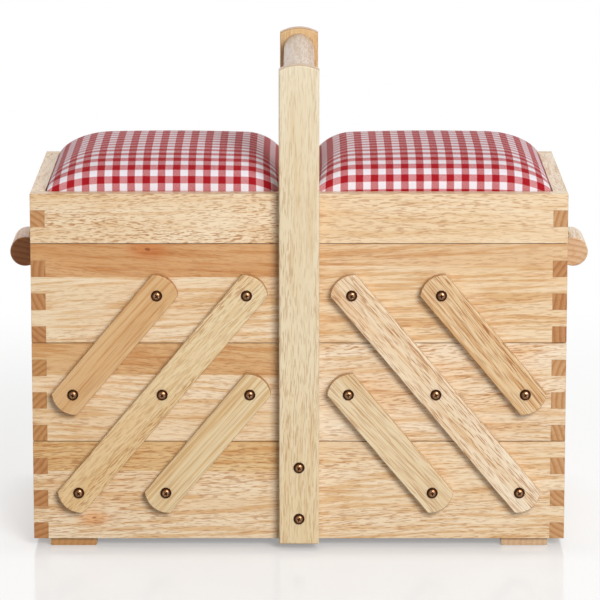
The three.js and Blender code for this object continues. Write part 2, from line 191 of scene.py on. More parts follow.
def buildWoodFigure(look):
    group, given, out = newGroup(
        "woodFigure",
        {"Grain": "Vector", "Tint": "Color", "Figure": "Float", "End Grain": "Float", "Knot": "Vector",
         "Knot Size": "Float", "Bands": "Float", "Pores": "Float", "Patches": "Float"}, figureOutputs)
    flow = given["Grain"]
    for wave in ("sway", "ripple"):
        noise = stretchedNoise(group, given["Grain"], look[wave])
        flow = vectorCalc(group, "ADD", flow, wander(group, noise, look[wave + "Reach"]))

    def mask(name, detail=2.0, least=0.0):
        noise = stretchedNoise(group, flow, look[name], detail)
        return ease(group, noise.outputs["Fac"], *look[name + "Range"], least)

    plain = calc(group, "SUBTRACT", 1.0, times(group, given["End Grain"], look["endCalm"]))
    bands = times(group, mask("bands", 3.0), plain)
    streaks = times(group, mask("streaks", 3.0), plain)
    patches = mask("patches")

    # short open pores, thicker in some parts of the board than in others
    field = times(group, mask("field", least=look["fieldLeast"]), plain)
    flecks = times(group, mask("flecks", 1.0), field)

    # growth rings about the heart of the log, plain to see on end grain
    radius = vectorLength(group, vectorCalc(group, "MULTIPLY", flow, (0.0, 1.0, 1.0)))
    year = calc(group, "FRACT", times(group, radius, look["ringsPerMetre"]))
    fall = ease(group, year, *look["ringFall"], 1.0, 0.0)
    ring = times(group, ease(group, year, *look["ringRise"]), fall)
    ring = times(group, ring, calc(group, "MAXIMUM", given["End Grain"], look["ringOnFaces"]))

    # a knot stains the wood around it and has a dark heart
    reach = vectorCalc(group, "SUBTRACT", flow, given["Knot"])
    reach = vectorLength(group, vectorCalc(group, "MULTIPLY", reach, look["knotStretch"]))
    reach = calc(group, "DIVIDE", reach, given["Knot Size"])
    stain = ease(group, reach, *look["stainRange"], 1.0, 0.0)
    heart = ease(group, reach, *look["heartRange"], 1.0, 0.0)

    colour = given["Tint"]
    for shade, amount, strength in (
        ("bandsShade", bands, given["Bands"]), ("streaksShade", streaks, given["Figure"]),
        ("patchesShade", patches, given["Patches"]), ("stainShade", stain, 1.0),
        ("ringShade", ring, given["Figure"]), ("endShade", given["End Grain"], 1.0),
        ("flecksShade", flecks, given["Pores"]), ("heartShade", heart, 1.0),
    ):
        shaded = mixColour(group, 1.0, colour, look[shade], "MULTIPLY")
        colour = mixColour(group, times(group, amount, strength, True), colour, shaded)
    fleckRough = times(group, flecks, look["fleckRough"])
    rough = calc(group, "ADD", times(group, streaks, look["streakRough"]), fleckRough)
    height = calc(group, "SUBTRACT", times(group, streaks, look["streakHeight"]), flecks)
    setSockets(group, out, {"Color": colour, "Roughness": rough, "Height": height})
    return group


woodGroup = buildWoodFigure(woodFigure)
woodAttributes = {"Grain": ("grain", "Vector"), "Tint": ("tint", "Color"), "Figure": ("tint", "Alpha"),
                  "End Grain": ("endGrain", "Fac"), "Pores": ("pores", "Fac"), "Knot": ("knot", "Vector"),
                  "Knot Size": ("knot", "Alpha")}


# Wood with a tint of its own is alike all over, other wood reads what its board carries
def buildWood(name, look):
    material, tree, principled = newMaterial(name)
    if "tint" in look:
        sockets = {"Grain": objectPlace(tree), "Tint": look["tint"], "Figure": 1.0, "Pores": look["pores"],
                   "Knot": noKnot[:3], "Knot Size": noKnot[3]}
    else:
        sockets = {socket: attribute(tree, *source) for socket, source in woodAttributes.items()}
    sockets = {**sockets, "Bands": look["bands"], "Patches": look["patches"]}
    figure = addNode(tree, "ShaderNodeGroup", sockets, node_tree=woodGroup)
    useFigure(tree, principled, figure, look)
    setSockets(tree, principled, {"Specular IOR Level": look["gloss"], "Coat Weight": look["lacquer"],
                                  "Coat Roughness": look["lacquerRoughness"]})
    return material


rubberwoodLook = {"bands": 0.75, "patches": 0.55, "relief": 0.35, "reliefDepth": 0.0002, "roughness": 0.42,
                  "gloss": 0.28, "lacquer": 0.30, "lacquerRoughness": 0.30}
plywoodLook = {"bands": 0.30, "patches": 0.30, "pores": 0.35, "tint": screenColour(232, 214, 180),
               "relief": 0.20, "reliefDepth": 0.0001, "roughness": 0.50, "gloss": 0.28, "lacquer": 0.05,
               "lacquerRoughness": 0.40}
rubberwood = buildWood("rubberwood", rubberwoodLook)
plywood = buildWood("plywood", plywoodLook)
print("wood materials ready")


# Metal: aged bronze screws and brass hinges share one patina

patinaLook = {"ageRange": (0.35, 0.65), "leastBright": 0.45, "dullRough": 0.20}


def buildPatina(look):
    group, given, out = newGroup(
        "patina", {"Bright": "Color", "Aged": "Color", "Pitch": "Float", "Rubbed": "Float"}, figureOutputs)
    sockets = {"Vector": objectPlace(group), "Scale": given["Pitch"], "Detail": 3.0}
    age = addNode(group, "ShaderNodeTexNoise", sockets).outputs["Fac"]
    bright = ease(group, age, *look["ageRange"], 1.0, look["leastBright"])
    # the screws' bright crowns and dark rims come in here: partly rubbed wear, partly painted reflection
    bright = times(group, bright, given["Rubbed"])
    colour = mixColour(group, bright, given["Aged"], given["Bright"])
    rough = times(group, calc(group, "SUBTRACT", 1.0, bright), look["dullRough"])
    setSockets(group, out, {"Color": colour, "Roughness": rough, "Height": age})
    return group


patinaGroup = buildPatina(patinaLook)


def buildMetal(name, look, rubbedAndReflectionAttribute=None):
    material, tree, principled = newMaterial(name)
    rubbed = attribute(tree, rubbedAndReflectionAttribute) if rubbedAndReflectionAttribute else 1.0
    sockets = {"Bright": look["bright"], "Aged": look["aged"], "Pitch": look["pitch"], "Rubbed": rubbed}
    patina = addNode(tree, "ShaderNodeGroup", sockets, node_tree=patinaGroup)
    useFigure(tree, principled, patina, look)
    setSockets(tree, principled, {"Metallic": 1.0})
    return material


bronzeLook = {"bright": screenColour(178, 132, 98), "aged": screenColour(58, 33, 14), "pitch": 700.0,
              "roughness": 0.16, "relief": 0.15, "reliefDepth": 0.00005}
brassLook = {"bright": screenColour(176, 144, 88), "aged": screenColour(142, 114, 68), "pitch": 160.0,
             "roughness": 0.24, "relief": 0.04, "reliefDepth": 0.00005}
bronze = buildMetal("agedBronze", bronzeLook, "rubbed")
brass = buildMetal("hingeBrass", brassLook)


# Gingham: dyed and white yarns in even stripes both ways, on a map of the cloth in metres

ginghamLook = {
    "check": 0.00621, "checkEdge": 0.02, "dyedShare": (0.25, 0.75), "yarn": 0.00055, "overlap": (-0.5, 0.3),
    "red": screenColour(155, 12, 26), "blush": screenColour(217, 164, 168),
    "white": screenColour(222, 217, 224), "roughness": 0.85, "gloss": 0.2, "sheen": 0.05,
    "wander": 55.0, "wanderReach": (0.0004, 0.0004, 0.0), "relief": 0.3, "reliefDepth": 0.0001,
}


def buildGingham(look):
    material, tree, principled = newMaterial("gingham")
    cloth = addNode(tree, "ShaderNodeUVMap", uv_map="cloth").outputs["UV"]
    drift = addNode(tree, "ShaderNodeTexNoise", {"Vector": cloth, "Scale": look["wander"], "Detail": 1.0})
    cloth = vectorCalc(tree, "ADD", cloth, wander(tree, drift, look["wanderReach"]))
    axes = addNode(tree, "ShaderNodeSeparateXYZ", {"Vector": cloth}).outputs
    dyed, yarns, edge = [], [], look["checkEdge"]
    first, last = look["dyedShare"]
    for axis in ("X", "Y"):
        stripe = calc(tree, "FRACT", calc(tree, "DIVIDE", axes[axis], 2 * look["check"]))
        starts = ease(tree, stripe, first - edge, first + edge)
        ends = ease(tree, stripe, last - edge, last + edge, 1.0, 0.0)
        dyed.append(times(tree, starts, ends))
        yarns.append(calc(tree, "SINE", times(tree, axes[axis], math.pi / look["yarn"])))
    weave = times(tree, *yarns)      # above zero where the lengthwise yarn is on top
    over = ease(tree, weave, *look["overlap"])
    lengthwise = times(tree, over, dyed[0])
    crosswise = times(tree, calc(tree, "SUBTRACT", 1.0, over), dyed[1])
    pale = mixColour(tree, calc(tree, "MAXIMUM", *dyed), look["white"], look["blush"])
    colour = mixColour(tree, calc(tree, "ADD", lengthwise, crosswise), pale, look["red"])
    setSockets(tree, principled, {
        "Base Color": colour, "Normal": relief(tree, calc(tree, "ABSOLUTE", weave), look),
        "Roughness": look["roughness"], "Specular IOR Level": look["gloss"], "Sheen Weight": look["sheen"]})
    return material


gingham = buildGingham(ginghamLook)
print("metal and cloth materials ready")


# Making pieces

def pieceName(node):
    first, *rest = node.split("_")
    return first + "".join(word.capitalize() for word in rest)


def toMesh(bm, name):
    mesh = bpy.data.meshes.new(name)
    bm.to_mesh(mesh)
    bm.free()
    return mesh


def newMesh(name, places, faces=()):
    mesh = bpy.data.meshes.new(name)
    mesh.from_pydata(places, [], faces)
    return mesh


def addObject(name, data):
    thing = bpy.data.objects.new(name, data)
    scene.collection.objects.link(thing)
    return thing


def placePiece(mesh, name, body, replaced, sharpAngle=40):
    mesh.name = name
    mesh.polygons.foreach_set("use_smooth", [True] * len(mesh.polygons))
    mesh.set_sharp_from_angle(angle=math.radians(sharpAngle))
    piece = addObject(name, mesh)
    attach(piece, body)
    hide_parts(*replaced)
    return piece


# Bevels and cuts leave a mesh in a chance order, so its corners and faces are sorted by their place
sortWay = Vector((1, math.sqrt(2), math.sqrt(3)))


def woodPiece(bm, node, body):
    bm.verts.sort(key=lambda vert: vert.co.dot(sortWay))
    bm.faces.sort(key=lambda face: face.calc_center_median().dot(sortWay))
    bm.normal_update()
    mesh = toMesh(bm, node)
    mesh.materials.append(rubberwood)
    piece = placePiece(mesh, pieceName(node), body, [node])
    even = piece.modifiers.new("evenNormals", "WEIGHTED_NORMAL")
    even.keep_sharp = True


def prism(outline, low, high, axis):
    bm = bmesh.new()

    def ring(depth):
        return [bm.verts.new((depth, a, z) if axis == alongX else (a, depth, z)) for a, z in outline]

    near, far = ring(low), ring(high)
    bm.faces.new(near)
    bm.faces.new(far)
    for i in range(len(outline)):
        bm.faces.new((near[i - 1], near[i], far[i], far[i - 1]))
    bmesh.ops.recalc_face_normals(bm, faces=bm.faces)
    return bm


def roundOver(bm, edges, sizes):
    bmesh.ops.bevel(bm, geom=list(edges), offset=sizes["arris"], segments=sizes["arrisSteps"], profile=0.5,
                    affect="EDGES", clamp_overlap=True)


# The edges around the front and the back of a piece
def capEdges(bm):
    def isCap(face):
        return abs(face.normal.y) > squareOn
    return [e for e in bm.edges if sum(map(isCap, e.link_faces)) == 1]


def cutAcross(bm, point, normal):
    everything = list(bm.verts) + list(bm.edges) + list(bm.faces)
    bmesh.ops.bisect_plane(bm, geom=everything, dist=closeBy, plane_co=point, plane_no=normal)


# A wood's own values: the tints of its staves, the strength of its streaks, pores and end grain, how far they
# are drawn out, whether two tints blend along it, and a knot: its stave, its places along and across the
# board, and its size. Two tints that don't blend stand for two lengths of a stave.
plainWood = {"tints": ["wheat"], "figure": 1.2, "pores": 0.6, "ends": 1.0, "draw": 1.1, "blend": False,
             "knot": None}
logSizes = {"along": (1, 30), "heart": (0.05, 0.11), "lean": (-0.07, 0.07), "crossCut": (0.4, 0.9)}


# Gives each stave of a board its own stretch of a log. Seams are places along the across direction, falling.
def layGrain(bm, name, along, across, wood, seams=()):
    wood = {**plainWood, **wood}
    tints, knot = wood["tints"], wood["knot"]
    through = along.cross(across)
    for seam in seams:
        cutAcross(bm, across * seam, across)
    if any(isinstance(tint, tuple) for tint in tints) and not wood["blend"]:
        cutAcross(bm, Vector(), along)
    runs = [v.co.dot(along) for v in bm.verts]
    first, last = min(runs), max(runs)
    middle = sum((v.co for v in bm.verts), Vector()) / len(bm.verts)
    layers = bm.loops.layers
    grainLayer, endLayer = layers.float_vector.new("grain"), layers.float.new("endGrain")
    tintLayer, knotLayer = layers.float_color.new("tint"), layers.float_color.new("knot")
    poreLayer = layers.float.new("pores")
    staves = []
    for index, tint in enumerate(tints):
        chance = random.Random(f"{name} {index}")
        heart, turn = chance.uniform(*logSizes["heart"]), chance.uniform(0, 2 * math.pi)
        log = Vector((chance.uniform(*logSizes["along"]), heart * math.cos(turn), heart * math.sin(turn)))
        lean = chance.uniform(*logSizes["lean"])      # how far the grain runs out of the board's line

        def onLog(place, lean=lean, log=log):
            a, b = place.dot(along), place.dot(across)
            return Vector((a / wood["draw"], b + lean * a, place.dot(through))) + log

        spot = noKnot
        if knot and knot[0] == index:
            spot = (*onLog(along * knot[1] + across * knot[2] - middle), knot[3])
        lengths = tint if isinstance(tint, tuple) else (tint, tint)
        colours = [Vector((*woodTints[length][:3], wood["figure"])) for length in lengths]
        staves.append((onLog, colours, spot))
    sideways, endOn = logSizes["crossCut"]
    for face in bm.faces:
        centre = face.calc_center_median()
        onLog, (near, far), spot = staves[sum(centre.dot(across) < seam for seam in seams)]
        crossCut = (abs(face.normal.dot(along)) - sideways) / (endOn - sideways)
        for loop in face.loops:
            place = loop.vert.co
            share = (place.dot(along) - first) / (last - first) if wood["blend"] else centre.dot(along) > 0
            loop[grainLayer] = onLog(place - middle)
            loop[tintLayer] = near.lerp(far, float(share))
            loop[knotLayer] = spot
            loop[endLayer] = min(1.0, max(0.0, crossCut)) * wood["ends"]
            loop[poreLayer] = wood["pores"]


# A piece of one stave, rounded around its front and its back if it has the sizes for it
def oneStave(bm, node, body, along, across, wood, sizes=None):
    if sizes:
        roundOver(bm, capEdges(bm), sizes)
    layGrain(bm, node, along, across, wood)
    woodPiece(bm, node, body)


# Cases: four finger-jointed boards each

caseSizes = {"wall": 0.012, "glueLine": 0.0001, "trayFingers": 6, "lidFingers": 3, "arris": 0.0005,
             "arrisSteps": 2, "hingeHalf": 0.0601, "hingeDepth": 0.0011, "hingeWidth": 0.0091}
boardWood = {      # a seam is the glued joint between two staves, from the rim down
    "base_front_board": {"tints": [("honey", "wheat"), "wheat"], "seam": 0.0250, "figure": 1.5, "pores": 0.7,
                         "draw": 1.2, "knot": (1, -0.170, 0.0240, 0.010)},
    "base_back_board": {"tints": ["wheat", "honey"], "seam": 0.0480},
    "base_left_end": {"tints": ["rose"]},
    "left_middle_front_board": {"tints": ["ginger", "wheat"], "seam": 0.0265, "figure": 1.35, "pores": 0.5},
    "left_middle_back_board": {"tints": ["honey", "wheat"], "seam": 0.0390},
    "right_middle_front_board": {"tints": ["cream", "cream"], "seam": 0.0540, "pores": 0.8, "draw": 1.2},
    "right_middle_back_board": {"tints": ["rose", "wheat"], "seam": 0.0300,
                                "knot": (1, 0.080, 0.1150, 0.011)},
    "left_top_front_board": {"tints": ["amber", "wheat"], "seam": 0.0275, "figure": 1.4, "pores": 0.5,
                             "knot": (0, -0.124, 0.2520, 0.014)},
    "left_top_back_board": {"tints": ["wheat", "honey"], "seam": 0.0520},
    "right_top_front_board": {"tints": ["rose", "wheat"], "seam": 0.0180, "figure": 1.7, "draw": 1.4},
    "right_top_back_board": {"tints": ["wheat", "honey"], "seam": 0.0280},
    "left_lid_front_rail": {"figure": 0.7, "pores": 1.3, "draw": 0.9},
    "right_lid_front_rail": {"figure": 0.6, "draw": 1.2},
}
endWood = {"left_middle": {"tints": ["honey"]}, "left_top": {"tints": ["rose"]},
           "right_top": {"tints": ["rose"]}}


def fingerOutline(low, high, floor, rim, fingers, ownsTop):
    step, glue = (rim - floor) / fingers, caseSizes["glueLine"]
    profile = []
    for level in range(fingers):
        own = ((fingers - 1 - level) % 2 == 0) == ownsTop
        inset = 0.0 if own else caseSizes["wall"] + glue
        shift = glue / 2 if own else -glue / 2
        bottom = floor + level * step + (shift if level else 0.0)
        top = floor + (level + 1) * step - (shift if level < fingers - 1 else 0.0)
        profile += [(inset, bottom), (inset, top)]
    right = [(high - inset, z) for inset, z in profile]
    return right + [(low + inset, z) for inset, z in reversed(profile)]


# Cuts the seat of a hinge leaf into the edge of an outer end board
def letInHinge(bm, outer, inward, edge, into):
    half = caseSizes["hingeHalf"]
    inner, bed = outer + inward * caseSizes["hingeWidth"], edge + into * caseSizes["hingeDepth"]
    for point, normal in (((0, -half, 0), alongY), ((0, half, 0), alongY), ((inner, 0, 0), alongX),
                          ((0, 0, bed), alongZ)):
        cutAcross(bm, Vector(point), normal)

    def inSeat(face):
        c = face.calc_center_median()
        beyond = (c.z - bed) * into < 0 and (c.x - inner) * inward < 0
        return abs(c.y) < half and beyond and (abs(c.z - edge) < closeBy or abs(c.x - outer) < closeBy)

    bmesh.ops.delete(bm, geom=[f for f in bm.faces if inSeat(f)], context="FACES")

    def corner(x, y, z):
        spot = Vector((x, y, z))
        return next((v for v in bm.verts if (v.co - spot).length < closeBy), None) or bm.verts.new(spot)

    def close(*spots):
        bm.faces.new([corner(*spot) for spot in spots])

    close((outer, -half, bed), (outer, half, bed), (inner, half, bed), (inner, -half, bed))
    close((inner, -half, bed), (inner, half, bed), (inner, half, edge), (inner, -half, edge))
    for y in (-half, half):
        close((outer, y, bed), (inner, y, bed), (inner, y, edge), (outer, y, edge))
    bmesh.ops.recalc_face_normals(bm, faces=bm.faces)


def caseBoard(node, body, case, through, outward, wood, hinge=None):
    run, wall, slack = 1 - through, caseSizes["wall"], 2 * closeBy
    outer = case[1][through] if outward > 0 else case[0][through]
    inner = outer - outward * wall
    low, high, floor, rim = case[0][run], case[1][run], case[0][2], case[1][2]
    outline = fingerOutline(low, high, floor, rim, case[2], through == 1)
    throughAxis, runAxis = (alongX, alongY) if through == 0 else (alongY, alongX)
    bm = prism(outline, min(outer, inner), max(outer, inner), throughAxis)
    if hinge:
        letInHinge(bm, outer, -outward, *hinge)
    for spot in (low + wall, high - wall):
        cutAcross(bm, runAxis * spot, runAxis)

    def onArris(edge):
        ends = [v.co for v in edge.verts]

        def both(axis, place):
            return all(abs(end[axis] - place) < slack for end in ends)

        level = both(2, floor) or both(2, rim)
        inside = all(low + wall - slack < end[run] < high - wall + slack for end in ends)
        outside = level + both(through, outer) + both(run, low) + both(run, high)
        return outside >= 2 or (level and inside and both(through, inner))

    roundOver(bm, [e for e in bm.edges if onArris(e)], caseSizes)
    layGrain(bm, node, runAxis, alongZ, wood, [rim - wood["seam"]] if "seam" in wood else [])
    woodPiece(bm, node, body)


# A case's front board has its full width and height, and an end board its full depth
def buildCase(stem, body, boards, fingers, hinge=None):
    front, back, lowEnd, highEnd = (f"{stem}_{board}" for board in boards)
    (xLow, _, floor), (xHigh, _, rim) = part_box(front)
    yLow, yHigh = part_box(lowEnd)[0].y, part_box(lowEnd)[1].y
    case = ((xLow, yLow, floor), (xHigh, yHigh, rim), fingers)
    hingeSeat = {"rim": (rim, -1), "floor": (floor, 1)}.get(hinge)
    for node, through, outward in ((front, 1, -1), (back, 1, 1), (lowEnd, 0, -1), (highEnd, 0, 1)):
        seat = hingeSeat if node.endswith("outer_end") else None
        wood = boardWood.get(node) or endWood.get(stem, {})
        caseBoard(node, body, case, through, outward, wood, seat)


buildCase("base", "base", ("front_board", "back_board", "left_end", "right_end"), caseSizes["trayFingers"])
for side, sign in sides.items():
    boards = ["front_board", "back_board", *["inner_end", "outer_end"][::sign]]
    for tier, hinge in (("middle", None), ("top", "rim")):
        stem = f"{side}_{tier}"
        buildCase(stem, stem + "_tray", boards, caseSizes["trayFingers"], hinge)
    rails = [board.replace("_board", "_rail") for board in boards]
    buildCase(f"{side}_lid", f"{side}_lid", rails, caseSizes["lidFingers"], "floor")
for node, thing in frame["nodes"].items():      # the panels in their grooves keep their plain shape
    if node.endswith("_panel"):
        thing.data.materials.clear()
        thing.data.materials.append(plywood)
print("cases jointed")


# Feet, handle and pulls

def arc(centre, radius, start, end, steps):
    angles = [start + (end - start) * step / steps for step in range(steps + 1)]
    return [(centre[0] + radius * math.cos(a), centre[1] + radius * math.sin(a)) for a in angles]


# An arc of a given bow over a chord: its radius and half its angle
def bowArc(half, bow):
    radius = (half * half + bow * bow) / (2 * bow)
    return radius, math.asin(half / radius)


footSizes = {"chamfer": 0.0009, "arris": 0.0006, "arrisSteps": 2}
footWood = {"left": {"tints": ["honey"], "figure": 0.5, "ends": 0.95},
            "right": {"tints": ["cream"], "figure": 0.5, "ends": 0.8}}
for side in sides:
    node = f"{side}_foot_runner"
    low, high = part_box(node)
    chamfer = footSizes["chamfer"]
    outline = [(low.x + chamfer, low.z), (high.x - chamfer, low.z), (high.x, low.z + chamfer),
               (high.x, high.z), (low.x, high.z), (low.x, low.z + chamfer)]
    bm = prism(outline, low.y, high.y, alongY)
    oneStave(bm, node, "base", alongY, alongX, footWood[side], footSizes)

uprightSizes = {"bow": 0.0044, "arcSteps": 24, "arris": 0.0014, "arrisSteps": 3}
uprightWood = {"figure": 0.5, "pores": 0.5, "draw": 1.6, "blend": True}
# the front upright fades to a paler tint towards its top: painted light, for the light falling off towards
# its foot; the back upright turns more golden towards its top
uprightTintsWithPaintedLight = {"front": [("flax", "birch")], "back": [("flax", "honey")]}
for face in faceWays:
    node = f"{face}_upright"
    low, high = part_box(node)
    radius, spread = bowArc((high.x - low.x) / 2, uprightSizes["bow"])
    centre = ((low.x + high.x) / 2, high.z - radius)
    top = arc(centre, radius, math.pi / 2 - spread, math.pi / 2 + spread, uprightSizes["arcSteps"])
    bm = prism([(low.x, low.z), (high.x, low.z)] + top, low.y, high.y, alongY)
    wood = {**uprightWood, "tints": uprightTintsWithPaintedLight[face]}
    oneStave(bm, node, "base", alongZ, alongX, wood, uprightSizes)

gripSizes = {"segments": 72, "shoulder": 0.0001}
# the grip's greyish tint is partly the wood's colour and partly painted sheen, a grey cast for the light
# glancing off its top
gripWoodWithSheen = {"tints": ["dove"]}
low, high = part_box("grip")
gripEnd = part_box("back_upright")[0].y - gripSizes["shoulder"]
centre = ((low.x + high.x) / 2, (low.z + high.z) / 2)
circle = arc(centre, (high.z - low.z) / 2, 0, 2 * math.pi, gripSizes["segments"])[:-1]
oneStave(prism(circle, -gripEnd, gripEnd, alongY), "grip", "base", alongY, alongZ, gripWoodWithSheen)

pullSizes = {"flat": 0.002, "steps": 56, "arris": 0.0016, "arrisSteps": 4}
# the left pull's darker amber tint is partly painted shade: its end lies in the box's shadow, and the tint
# deepens it
pullWoodWithPaintedShade = {"left": {"tints": ["amber"]}, "right": {"tints": ["cream"], "ends": 0.72}}
for side, sign in sides.items():
    node = f"{side}_pull"
    low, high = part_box(node)
    radius = (high.z - low.z) / 2
    centre = radius - pullSizes["flat"]
    half = math.acos(-centre / radius)
    seat = low.x if sign > 0 else high.x
    section = arc((centre, (low.z + high.z) / 2), radius, -half, half, pullSizes["steps"])
    bm = prism([(seat + sign * x, z) for x, z in section], low.y, high.y, alongY)
    oneStave(bm, node, f"{side}_top_tray", alongY, alongZ, pullWoodWithPaintedShade[side], pullSizes)
print("feet, handle and pulls shaped")


# Links: strips with bowed ends, from one pivot to the last

linkSizes = {"width": 0.0274, "thickness": 0.009, "overhang": 0.0165, "endBow": 0.0056, "arcSteps": 18,
             "arris": 0.0009, "arrisSteps": 3, "headHeight": 0.003}
linkWood = {
    "left_long": {"tints": [("honey", "flax")], "figure": 0.6, "pores": 0.9, "draw": 1.3, "blend": True},
    "left_lower": {"tints": ["flax"], "figure": 1.5, "draw": 4.0},
    "left_upper": {"tints": ["ginger"], "pores": 0.3, "draw": 3.0},
    "right_long": {"tints": ["cream"], "figure": 0.9, "pores": 1.1, "draw": 1.8},
    "right_lower": {"tints": ["straw"], "figure": 0.9, "draw": 3.0},
    "right_upper": {"tints": ["biscuit"], "figure": 2.2, "pores": 1.4, "draw": 2.5},
}
linkPivots = {"long": ("spread", 3), "lower": ("lower_swing", 2), "upper": ("upper_swing", 2)}
screwSpots = {"base": []}      # for each body, where a screw head sits and which way it faces


def linkOutline(start, end):
    run = (end - start).length
    lean = math.atan2(end.z - start.z, end.x - start.x)
    radius, spread = bowArc(linkSizes["width"] / 2, linkSizes["endBow"])
    far, near = run + linkSizes["overhang"] - radius, radius - linkSizes["overhang"]
    strip = arc((far, 0), radius, -spread, spread, linkSizes["arcSteps"])
    strip += arc((near, 0), radius, math.pi - spread, math.pi + spread, linkSizes["arcSteps"])
    c, s = math.cos(lean), math.sin(lean)
    return [(start.x + c * a - s * b, start.z + s * a + c * b) for a, b in strip]


for side in sides:
    step = jointAt[f"{side}_middle_level"] - jointAt[f"{side}_spread"]
    along = step.normalized()
    for kind, (joint, pivots) in linkPivots.items():
        body = f"{side}_{kind}_links"
        start = jointAt[f"{side}_{joint}"]
        outline = linkOutline(start, start + step * (pivots - 1))
        screwSpots[body] = []
        for face, outward in faceWays.items():
            node = f"{side}_{kind}_link_{face}"
            low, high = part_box(node)
            front = (high.y if outward > 0 else low.y) - outward * linkSizes["headHeight"]
            back = front - outward * linkSizes["thickness"]
            bm = prism(outline, min(front, back), max(front, back), alongY)
            oneStave(bm, node, body, along, along.cross(alongY), linkWood[f"{side}_{kind}"], linkSizes)
            for pivot in range(pivots):
                spot = start + step * pivot
                screwSpots[body].append(((spot.x, front, spot.z), (0, outward, 0)))
print("links shaped")


# Screws: one tree makes a round head with a cross recess and sets it on every spot

headForm = {"segments": 32, "rings": 20, "recessFoot": 0.35, "crown": (0.68, 0.98)}


def buildScrewTree(form):
    tree, given, out = newGroup("crossHeadScrews", {
        "Geometry": "Geometry", "Head Radius": "Float", "Head Height": "Float", "Sunk": "Float",
        "Recess Length": "Float", "Recess Width": "Float", "Recess Depth": "Float", "Seed": "Int",
        "Metal": "Material"}, {"Geometry": "Geometry"}, "Geometry")

    def make(kind, sockets=None, **settings):
        return addNode(tree, kind, sockets, **settings).outputs[0]

    def triple(x=0.0, y=0.0, z=0.0):
        return make("ShaderNodeCombineXYZ", {"X": x, "Y": y, "Z": z})

    def moved(mesh, offset=(0, 0, 0), turn=(0, 0, 0), scale=(1, 1, 1)):
        sockets = {"Geometry": mesh, "Translation": offset, "Rotation": turn, "Scale": scale}
        return make("GeometryNodeTransform", sockets)

    sockets = {"Segments": form["segments"], "Rings": form["rings"], "Radius": 1.0}
    ball = make("GeometryNodeMeshUVSphere", sockets)
    dome = moved(ball, scale=triple(given["Head Radius"], given["Head Radius"], given["Head Height"]))
    wide = times(tree, given["Head Radius"], 3.0)      # a block that reaches past the head
    block = make("GeometryNodeMeshCube", {"Size": triple(wide, wide, wide)})
    below = moved(block, triple(z=calc(tree, "SUBTRACT", times(tree, wide, -0.5), given["Sunk"])))

    # a wing of the recess is a square taper, squeezed to its width
    corner = times(tree, given["Recess Length"], math.sqrt(0.5))
    foot = times(tree, corner, form["recessFoot"])
    deep = times(tree, given["Recess Depth"], 2.0)
    sockets = {"Vertices": 4, "Radius Top": corner, "Radius Bottom": foot, "Depth": deep}
    square = moved(make("GeometryNodeMeshCone", sockets), turn=(0, 0, math.pi / 4))
    thin = calc(tree, "DIVIDE", given["Recess Width"], given["Recess Length"])
    seat = calc(tree, "SUBTRACT", given["Head Height"], given["Recess Depth"])
    wing = moved(square, triple(z=seat), scale=triple(1.0, thin, 1.0))
    cut = addNode(tree, "GeometryNodeMeshBoolean", {"Mesh 1": dome}, operation="DIFFERENCE", solver="EXACT")
    for cutter in (below, wing, moved(wing, turn=(0, 0, math.pi / 2))):
        setSockets(tree, cut, {"Mesh 2": cutter})

    # the crown of a head is painted bright and its rim dark, partly rubbed wear and partly painted
    # reflection; the recess stays dark with patina
    place = make("GeometryNodeInputPosition")
    height = addNode(tree, "ShaderNodeSeparateXYZ", {"Vector": place}).outputs["Z"]
    share = calc(tree, "DIVIDE", height, given["Head Height"])
    sockets = {"Geometry": cut.outputs[0], "Name": "rubbed", "Value": ease(tree, share, *form["crown"])}
    head = make("GeometryNodeStoreNamedAttribute", sockets, data_type="FLOAT", domain="POINT")

    # each head looks the way of its spot and is turned by chance
    facing = make("GeometryNodeInputNamedAttribute", {"Name": "facing"}, data_type="FLOAT_VECTOR")
    aim = make("FunctionNodeAlignRotationToVector", {"Vector": facing}, axis="Z")
    chance = addNode(tree, "FunctionNodeRandomValue", {"Seed": given["Seed"]}, data_type="FLOAT").outputs[1]
    sockets = {"Axis": (0, 0, 1), "Angle": times(tree, chance, math.pi)}
    sockets = {"Rotation": aim, "Rotate By": make("FunctionNodeAxisAngleToRotation", sockets)}
    turn = make("FunctionNodeRotateRotation", sockets, rotation_space="LOCAL")
    sockets = {"Points": given["Geometry"], "Instance": head, "Rotation": turn}
    heads = make("GeometryNodeInstanceOnPoints", sockets)
    solid = make("GeometryNodeRealizeInstances", {"Geometry": heads})
    metal = make("GeometryNodeSetMaterial", {"Geometry": solid, "Material": given["Metal"]})
    setSockets(tree, out, {"Geometry": metal})
    return tree


screwTree = buildScrewTree(headForm)


# One mesh with a screw on each spot
def setScrews(name, spots, sizes):
    mesh = newMesh(name, [place for place, _ in spots])
    facing = mesh.attributes.new("facing", "FLOAT_VECTOR", "POINT")
    facing.data.foreach_set("vector", [value for _, way in spots for value in way])
    carrier = addObject(name + "Spots", mesh)
    nodes = carrier.modifiers.new("screws", "NODES")
    nodes.node_group = screwTree
    for item in screwTree.interface.items_tree:
        if item.in_out == "INPUT" and item.name in sizes:
            nodes[item.identifier] = sizes[item.name]
    made = bpy.data.meshes.new_from_object(carrier.evaluated_get(bpy.context.evaluated_depsgraph_get()))
    bpy.data.objects.remove(carrier)
    return made


